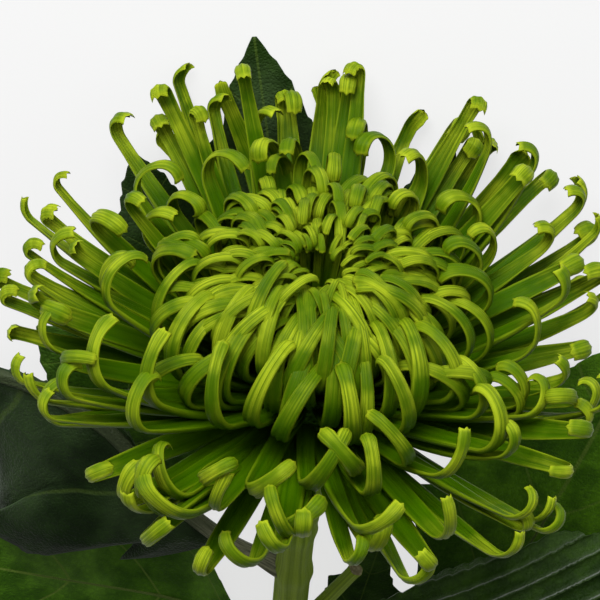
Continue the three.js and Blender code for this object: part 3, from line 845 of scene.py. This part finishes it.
def stemFrame(distance):
    # the stem's centre line and its way at a distance from the bloom
    straight = min(distance, lie["stemStraight"])
    bent = min(max(distance - lie["stemStraight"], 0), lie["stemLevelling"])
    level = max(distance - lie["stemStraight"] - lie["stemLevelling"], 0)
    slope = faceTilt * (1 - bent / lie["stemLevelling"])
    y = straight * math.cos(faceTilt) + level + levellingRadius * (math.sin(faceTilt) - math.sin(slope))
    z = (headHeight - straight * math.sin(faceTilt)
         - levellingRadius * (math.cos(slope) - math.cos(faceTilt)))
    return Vector((0, y, z)), Vector((0, math.cos(slope), -math.sin(slope)))


def stemRadius(distance):
    collar = max(0.0, 1 - (distance - lie["stemStart"]) / stem["collarLength"])
    swell = max(smooth(0, 1, 1 - abs(distance - leaf["node"]) / stem["nodeReach"])
                for leaf in leaves.values())
    return (lie["stemRadius"] + (stem["collarRadius"] - lie["stemRadius"]) * collar ** 2
            + stem["nodeSwell"] * swell)


def stemMaterial():
    material, tree = newMaterial("stemSkin")
    around, along, cut = attributes(tree, "around", "along", "cut")
    streaks = useGroup(tree, fibreStreaks, Across=around, Along=along, Fineness=26.0, Stretch=0.09)
    mottle = mottled(tree, stem["patchScale"], stem["grainScale"])
    fine, grain = streaks["Fine Streak"], mottle["Grain"]
    base = streaks["Streak"].mix(stem["dark"], stem["light"])
    base = (mottle["Patch"] * 0.5).mix(base, stem["patch"])
    base = (fine * 0.4).darken(base, stem["streakDarker"])
    base = cut.mix(base, grain.mix(stem["pith"], stem["pithDark"]))
    paint(tree, Base_Color=base, Roughness=0.6, Specular_IOR_Level=0.1,
          Normal=bump(tree, fine + grain * 0.5, distance=0.0003, strength=0.6))
    return material


def makeTube(name, sections, material):
    # a section has its centre, across, way and radii, and how far along the tube it stands
    rings = [ringOf(*section[:4]) for section in sections]
    for point in (p for ring in rings for p in ring):
        point.z = max(point.z, overTable)
    verts, faces = sweepTube(rings, stem["capRings"])
    piece = plainMesh(name, verts, faces, material)
    around, caps = len(rings[0]), len(stem["capRings"])
    alongs = [section[4] * stem["alongPerMm"] for section in sections]
    rows = [alongs[0]] * caps + alongs + [alongs[-1]] * caps
    cuts = [1.0] * caps + [0.0] * len(alongs) + [1.0] * caps
    # its points say how far round and along they stand, and whether they are cut face
    store(piece.data, around=[math.sin(turn / 2) for turn in turns(around)] * len(rows),
          along=np.repeat(rows, around), cut=np.repeat(cuts, around))
    finishPiece(piece, "stem")


def makeStem(material):
    sections = []
    for i in range(stem["stations"] + 1):
        distance = lie["stemStart"] + (lie["stemLength"] - lie["stemStart"]) * i / stem["stations"]
        at, way = stemFrame(distance)
        radius = stemRadius(distance)
        wander = stem["fineWander"] * math.sin(distance * stem["wanderPerMm"])
        radii = [radius * (1 + lie["ridgeHeight"] * math.cos(stem["ridges"] * turn)
                           + stem["fineHeight"] * math.cos(stem["fineRidges"] * (turn + wander)))
                 for turn in turns(stem["around"])]
        sections.append((at, aboutX, way, radii, distance))
    makeTube("stemSkin", sections, material)


def makeStub(material):
    sections = []
    root = stemFrame(stub["at"])[0]
    way = Vector(stub["direction"]).normalized()
    across = aboutZ.cross(way).normalized()
    length = stub["length"] + lie["stemRadius"]
    for i in range(stub["stations"] + 1):
        share = i / stub["stations"]
        rim = 1 + stub["rimFlare"] * smooth(0.95, 1.0, share)
        radius = stub["radius"] * (1 + stub["rootThicker"] * (1 - share)) * rim
        radii = [radius * (1 + stub["ridgeHeight"] * math.cos(stub["ridges"] * turn))
                 for turn in turns(stub["around"])]
        sections.append((root + way * (length * share), across, way, radii, length * share))
    makeTube("stubSkin", sections, material)


stemSkin = stemMaterial()
makeStem(stemSkin)
makeStub(stemSkin)
print("stem made")


blade = {
    "rows": 120,
    "columns": 18,            # on each side of the midrib
    "ridgedColumns": 52,
    "solidThick": 0.9,
    "thick": 0.5,
    "edgeThinner": 0.75,
    "leastWidth": 0.02,
    "forwardSweep": 0.1,
    "softLanding": 3.0,
    "midribDip": 0.35,
    "midribKeel": 0.9,
    "ridgeHeight": 2.2,
    "toothSpacing": 4.5,
    "toothDepth": 0.9,
    "ruffle": 1.0,
    "ruffleWaves": 17,
    "ruffleShift": 2.2,
    "veinCurve": 1.25,
}
stalk = {
    "radius": 2.2, "around": 20, "stations": 60, "sunk": 1.8, "intoBlade": 0.96, "flare": 0.7,
    "channelDeg": 24, "channelDepth": 0.28, "ribs": 9, "ribHeight": 0.055, "capRings": [(0.6, 0.0)],
    "ringsPerStreak": 40,
}


def wayOut(leaf):
    at, along = stemFrame(leaf["node"])
    out = Vector(leaf["path"][0]) - at
    return (out - along * out.dot(along)).normalized()


def midribPoints(leaf):
    clear = stemRadius(leaf["node"]) - stalk["sunk"]
    start = stemFrame(leaf["node"])[0] + wayOut(leaf) * clear
    return [start] + [Vector(p) for p in leaf["path"]]


def midribAt(points, u):
    # a smooth curve through the points, and its way
    last = len(points) - 1
    place = u * last
    i = min(int(place), last - 1)
    w = place - i
    before = points[i - 1] if i > 0 else points[0] * 2 - points[1]
    after = points[i + 2] if i + 2 <= last else points[last] * 2 - points[last - 1]
    here, there = points[i], points[i + 1]
    out, into = (there - before) * 0.5, (after - here) * 0.5
    c2 = (there - here) * 3 - out * 2 - into
    c3 = (here - there) * 2 + out + into
    return here + out * w + c2 * w * w + c3 * w ** 3, (out + c2 * 2 * w + c3 * 3 * w * w).normalized()


def bladeLength(leaf, points):
    steps = [midribAt(points, i / 200)[0] for i in range(201)]
    return sum((b - a).length for a, b in zip(steps, steps[1:])) * (1 - leaf["bladeFrom"])


def veinPhase(leaf, share, aside):
    pairs, lean, shift = leaf["veins"]
    # whole veins are added so that the phase stays above 0
    return (share - lean * abs(aside) ** blade["veinCurve"]) * pairs + shift + 10


def notch(place):
    # how far a leaf tooth cuts in: a long slope out to its tip, then a short one back
    return 0.5 - place if place < 0.8 else 4 * place - 3.5


def leafBlade(leaf, order, points):
    # the points of the upper skin, then of the lower, and each point's vein phase and place aside
    length = bladeLength(leaf, points)
    rows, columns = blade["rows"], blade["ridgedColumns" if leaf["ridged"] else "columns"]
    upper, lower, phases, asides = [], [], [], []
    for i in range(rows + 1):
        share = i / rows
        centre, along = midribAt(points, leaf["bladeFrom"] + (1 - leaf["bladeFrom"]) * share)
        across = along.cross(aboutZ).normalized()
        up = across.cross(along).normalized()
        forward = length * blade["forwardSweep"] * (1 - share)
        taper = smooth(0.0, 0.1, share) * smooth(1.0, 0.8, share)
        for j in range(-columns, columns + 1):
            v = j / columns
            far, side = (0, 1) if j > 0 else (1, -1)
            halfWidth, droopDeg = leaf["halfWidth"][far], leaf["droopDeg"][far]
            plain = ramp(share, leaf["outlines"][far])
            tooth = (share * length / blade["toothSpacing"] + 0.5 * side + spread(order, 3)) % 1.0
            cutIn = blade["toothDepth"] / halfWidth * notch(tooth)
            cutIn *= smooth(0.6, 1.0, abs(v)) * smooth(0.0, 0.12, share) * smooth(1.0, 0.93, share)
            width = max(blade["leastWidth"], plain - cutIn)
            hang = math.radians(droopDeg) * abs(v)
            reach = halfWidth * width * v
            p = (centre + across * (reach * math.cos(hang)) - up * (abs(reach) * math.sin(hang))
                 + along * (forward * abs(v) * width))
            low = layOn(p.z - blade["solidThick"] / 2, leaf["floor"], blade["softLanding"])
            # the skin swells between the veins, or stands in ridges on them
            aside = v * plain
            phase = veinPhase(leaf, share, aside)
            fromVein = abs(phase - math.floor(phase) - 0.5) * 2
            inside = smooth(1.0, 0.6, abs(v)) * smooth(0.0, 0.12, abs(aside))
            swell = leaf["bulge"] * (fromVein ** 0.7 - 0.5) * inside * taper
            ridge = leaf["ridged"] * blade["ridgeHeight"] * smooth(0.5, 0.0, fromVein) * taper
            swell = swell * (1 - 2 * leaf["ridged"]) + ridge
            wave = math.sin(share * blade["ruffleWaves"] + blade["ruffleShift"] * side + order)
            ruffle = blade["ruffle"] * v * v * wave * taper
            dip = blade["midribDip"] * smooth(0.1, 0.0, abs(aside)) * taper
            keel = blade["midribKeel"] * smooth(0.06, 0.0, abs(aside)) * (1 - share)
            middle = low + blade["solidThick"] / 2 + swell + ruffle
            middle = layOn(middle, leaf["floor"] + 0.5, 1.0)
            half = blade["thick"] / 2 * (1 - blade["edgeThinner"] * smooth(0.85, 1.0, abs(v)))
            upper.append(Vector((p.x, p.y, middle + half - dip)))
            lower.append(Vector((p.x, p.y, max(overTable, middle - half - keel - dip * 0.5))))
            phases.append(phase)
            asides.append(aside)
    return [p * mm for p in upper + lower], phases * 2, asides * 2, sheetFaces(rows, 2 * columns + 1)


def leafStalk(leaf, points):
    # a channelled stalk out of the stem, which runs on as the midrib
    end = leaf["bladeFrom"] + (1 - leaf["bladeFrom"]) * stalk["intoBlade"]
    ribFrom, ribTo = leaf["rib"]
    rings = []
    for i in range(stalk["stations"] + 1):
        share = i / stalk["stations"]
        centre, along = midribAt(points, end * share)
        firm = smooth(0.0, 0.12, share)
        along = (wayOut(leaf) * (1 - firm) + along * firm).normalized()
        across = along.cross(aboutZ).normalized()
        flare = 1 + stalk["flare"] * (1 - smooth(0.0, 0.1, share))
        thinned = smooth(0.0, leaf["bladeFrom"] * 1.6, share)
        radius = stalk["radius"] + (ribFrom - stalk["radius"]) * thinned
        radius = (radius + (ribTo - ribFrom) * thinned * share) * flare
        centre.z = layOn(centre.z, leaf["floor"] + radius, blade["softLanding"])
        radii = []
        for turn in turns(stalk["around"]):
            off = (turn - math.pi / 2) / math.radians(stalk["channelDeg"])
            radii.append(radius * (1 - stalk["channelDepth"] * math.exp(-off * off)
                                   + stalk["ribHeight"] * math.cos(stalk["ribs"] * turn)))
        rings.append(ringOf(centre, across, along, radii))
    return sweepTube(rings, stalk["capRings"])


def makeLeaf(name, leaf, order, material):
    points = midribPoints(leaf)
    verts, phases, asides, faces = leafBlade(leaf, order, points)
    tubeVerts, tubeSides = leafStalk(leaf, points)
    bladeCount, tubeCount, around = len(verts), len(tubeVerts), stalk["around"]
    faces += [tuple(index + bladeCount for index in face) for face in tubeSides]
    piece = plainMesh(name + "Skin", verts + tubeVerts, faces, material)
    rings = tubeCount // around
    store(piece.data, along=phases + [i // around / stalk["ringsPerStreak"] for i in range(tubeCount)],
          aside=asides + [math.sin(turn / 2) for turn in turns(around)] * rings,
          under=[0.0] * (bladeCount // 2) + [1.0] * (bladeCount // 2) + [0.0] * tubeCount,
          stalk=[0.0] * bladeCount + [1.0] * tubeCount)
    for label in ("tone", "waxAndSheenAmount", "paleVein", "ridged"):
        store(piece.data, **{label: [leaf[label]] * (bladeCount + tubeCount)})
    finishPiece(piece, name)


leafFinish = {
    "mottle": (38.0, 1600.0),           # the scale of the patches and of the grain
    "closeMottle": (150.0, 700.0),
    "netScale": 420.0,
    "dark": (0.0135, 0.0345, 0.0040),
    "light": (0.1100, 0.2650, 0.0080),
    # the wax colour, laid on as a waxy bloom with painted sheen
    "wax": (0.072, 0.104, 0.056),
    "vein": (0.100, 0.160, 0.022),
    # a painted highlight along the ridged leaf's raised veins
    "ridge": (0.320, 0.340, 0.320),
    "under": (0.045, 0.080, 0.030),
    "ribDark": (0.026, 0.030, 0.025),
    "ribStreak": (0.6, 0.6, 0.62),
    "stalk": (0.230, 0.235, 0.140),
    "stalkDark": (0.060, 0.066, 0.038),
}


def leafMaterial():
    material, tree = newMaterial("leafSkin")
    finish = leafFinish
    along, aside, under, isStalk, tone, waxAndSheenAmount, paleVein, ridged = attributes(
        tree, "along", "aside", "under", "stalk", "tone", "waxAndSheenAmount", "paleVein", "ridged")
    veins = useGroup(tree, leafVeins, Phase=along, Aside=aside, Vector=objectPlace(tree),
                     Net_Scale=finish["netScale"])
    mottle, close = mottled(tree, *finish["mottle"]), mottled(tree, *finish["closeMottle"])
    streaks = useGroup(tree, fibreStreaks, Across=aside, Along=along, Fineness=7.0, Stretch=4.0)
    patch, fine = mottle["Patch"], streaks["Fine Streak"]
    base = tone.mix(finish["dark"], finish["light"])
    for shade, amount, darker in ((patch, 0.9, (0.42, 0.5, 0.42)), (close["Patch"], 0.7, (0.45, 0.52, 0.45)),
                                  (close["Grain"], 0.5, (0.5, 0.55, 0.5)),
                                  (veins["Net"], 0.18, (0.55, 0.62, 0.5))):
        base = (shade * amount).darken(base, darker)
    # a waxy bloom and a painted sheen in patches, then the veins
    waxSheenPatches = (1.0 - patch).then("POWER", 1.5)
    base = (waxSheenPatches * (waxAndSheenAmount * 0.45)).mix(base, finish["wax"])
    # on the ridged leaf the vein lines are a painted highlight and the band about them a painted sheen
    lines = veins["Midrib"].then("MAXIMUM", veins["Side"] * 0.75)
    base = (lines * paleVein).mix(base, ridged.mix(finish["vein"], finish["ridge"]))
    base = (veins["Fold"] * ridged * 0.35).mix(base, finish["wax"])
    base = under.mix(base, finish["under"])
    stalkTint = fine.mix(finish["stalkDark"], finish["stalk"])
    ribTint = (paleVein * 0.8).mix(finish["ribDark"], finish["vein"])
    ribTint = (fine * 0.5).darken(ribTint, finish["ribStreak"])
    base = isStalk.mix(base, along.span(0.25, 0.6).mix(stalkTint, ribTint))
    relief = close["Grain"].scaled(0.5, mottle["Grain"]) - veins["Net"].scaled(0.12, veins["Side"] * 0.6)
    paint(tree, Base_Color=base, Roughness=patch.scaled(0.15, 0.45), Specular_IOR_Level=0.1,
          Normal=bump(tree, relief, distance=0.0004, strength=0.5))
    return material


leafSkin = leafMaterial()
for order, (leafName, leafShape) in enumerate(leaves.items()):
    makeLeaf(leafName, {**plainLeaf, **leafShape}, order, leafSkin)
print("leaves made")


involucre = {
    "cup": [(0, -17), (5.0, -17), (5.6, -12), (6.6, -8.5), (9.2, -5), (11.6, -3.2), (0, -2.6)],
    "cupAround": 48,
    # each row of bracts has a radius, a height, a rise in degrees and a length
    "rows": [(7.4, -8.6, 52, 5.5), (9.0, -6.4, 38, 6.5), (10.8, -4.6, 22, 7.5)],
    "perRow": 14,
    "inset": 1.2,
    "vary": {"turn": 0.08, "riseDeg": 5, "length": 0.1},
}
bract = {
    "rows": 12, "columns": 6, "width": 3.8, "depth": 6.0, "cup": 0.5, "thick": 0.05, "arch": 0.12,
    "outline": [(0, 0.75), (0.3, 1.0), (0.6, 0.8), (0.85, 0.36), (1, 0.04)],
    "tints": [(0.0, (0.04, 0.07, 0.015)), (0.7, (0.075, 0.12, 0.025)), (1.0, (0.16, 0.13, 0.06))],
    "mottle": (120.0, 2200.0),
    "patchDarker": (0.5, 0.55, 0.45),
}


def bractTree():
    # stands one template on every point, turned and scaled by the point's attributes
    tree, given = geometryTree("bractRows", Template="Object")
    up, across, size = (readLayer(tree, name, "FLOAT_VECTOR") for name in ("up", "across", "size"))
    template = geometryNode(tree, "ObjectInfo", transform_space="ORIGINAL", Object=given["Template"])
    turn = addNode(tree, "FunctionNodeAxesToRotation", primary_axis="Z", secondary_axis="X",
                   Primary_Axis=up, Secondary_Axis=across)
    copies = geometryNode(tree, "InstanceOnPoints", Points=given["Geometry"],
                          Instance=template["Geometry"], Rotation=turn, Scale=size)
    return endGeometry(tree, geometryNode(tree, "RealizeInstances", Geometry=copies), given["Material"])


def bractTemplate(material):
    # a thin pointed scale, 1 long on X and up to 1 wide on Y, cupped along its length
    verts, rows, columns = [], bract["rows"], bract["columns"]
    for under in (0, 1):
        for i in range(rows + 1):
            x = i / rows
            half = 0.5 * ramp(x, bract["outline"])
            for j in range(columns + 1):
                v = 2 * j / columns - 1
                z = (bract["cup"] * (v * v) * half + bract["arch"] * math.sin(math.pi * x)
                     - under * bract["thick"] * (1 - 0.6 * x))
                verts.append((x, v * half, z))
    piece = plainMesh("bractTemplate", verts, sheetFaces(rows, columns + 1, flipped=True), material)
    store(piece.data, along=[v[0] for v in verts])
    return piece


def latheMesh(name, profile, around, material):
    # turns a list of (radius, height) about the bloom's axis, closed at both ends
    rings = len(profile) - 2
    local = [Vector((radius * math.cos(turn), radius * math.sin(turn), height))
             for radius, height in profile[1:-1] for turn in turns(around)]
    local += [aboutZ * profile[0][1], aboutZ * profile[-1][1]]
    faces = tubeFaces(rings, around)
    low, top = rings * around, (rings - 1) * around
    for j in range(around):
        nextJ = (j + 1) % around
        faces.append((low, nextJ, j))
        faces.append((low + 1, top + j, top + nextJ))
    return plainMesh(name, [(headCentre + headToTable @ p) * mm for p in local], faces, material)


def bractMaterial():
    material, tree = newMaterial("bractSkin")
    mottle = mottled(tree, *bract["mottle"])
    base = attributes(tree, "along")[0].tints(*bract["tints"])
    base = (mottle["Patch"] * 0.5).darken(base, bract["patchDarker"])
    paint(tree, Base_Color=base, Roughness=0.6, Specular_IOR_Level=0.2,
          Normal=bump(tree, mottle["Grain"], distance=0.0002, strength=0.5))
    return material


def bractPoints():
    vary, count = involucre["vary"], involucre["perRow"]
    at, ups, acrosses, sizes = [], [], [], []
    for row, (radius, height, riseDeg, length) in enumerate(involucre["rows"]):
        for j in range(count):
            number = j + 20 * row
            turn = 2 * math.pi * (j + 0.5 * row) / count + vary["turn"] * spread(number, 1)
            out = Vector((math.cos(turn), math.sin(turn), 0))
            rise = math.radians(riseDeg + vary["riseDeg"] * spread(number, 2))
            root = out * (radius - involucre["inset"]) + aboutZ * height
            at.append((headCentre + headToTable @ root) * mm)
            ups.append(headToTable @ (out * math.sin(rise) - aboutZ * math.cos(rise)))
            acrosses.append(headToTable @ (out * math.cos(rise) + aboutZ * math.sin(rise)))
            sizes.append([s * mm for s in (length * (1 + vary["length"] * spread(number, 3)),
                                           bract["width"], bract["depth"])])
    mesh = bpy.data.meshes.new("points")
    mesh.from_pydata([tuple(p) for p in at], [], [])
    store(mesh, "FLOAT_VECTOR", up=ups, across=acrosses, size=sizes)
    return mesh


def makeInvolucre():
    material = bractMaterial()
    cup = latheMesh("involucreCup", involucre["cup"], involucre["cupAround"], material)
    finishPiece(cup, "involucre")
    template = bractTemplate(material)
    piece = runTree("involucreBracts", bractPoints(), bractTree(),
                    {"Template": template, "Material": material})
    bpy.data.objects.remove(template)
    finishPiece(piece, "involucre")


makeInvolucre()
print("involucre made")


receptacle = {
    "profile": [(0, -5.5), (10, -5.5), (15, -3), (17, 3), (16, 10), (12, 16), (8, 20), (4, 22),
                (0, 22.5)],
    "around": 64,
    "mottle": (150.0, 900.0),
    "dark": (0.020, 0.072, 0.002),
    "light": (0.060, 0.160, 0.005),
}


def makeReceptacle():
    material, tree = newMaterial("heartSkin")
    grain = mottled(tree, *receptacle["mottle"])["Grain"]
    paint(tree, Base_Color=grain.mix(receptacle["dark"], receptacle["light"]), Roughness=0.6,
          Specular_IOR_Level=0.15, Normal=bump(tree, grain, distance=0.0008, strength=0.8))
    heart = latheMesh("bloomHeart", receptacle["profile"], receptacle["around"], material)
    finishPiece(heart, "bloom")


makeReceptacle()
print("heart made")
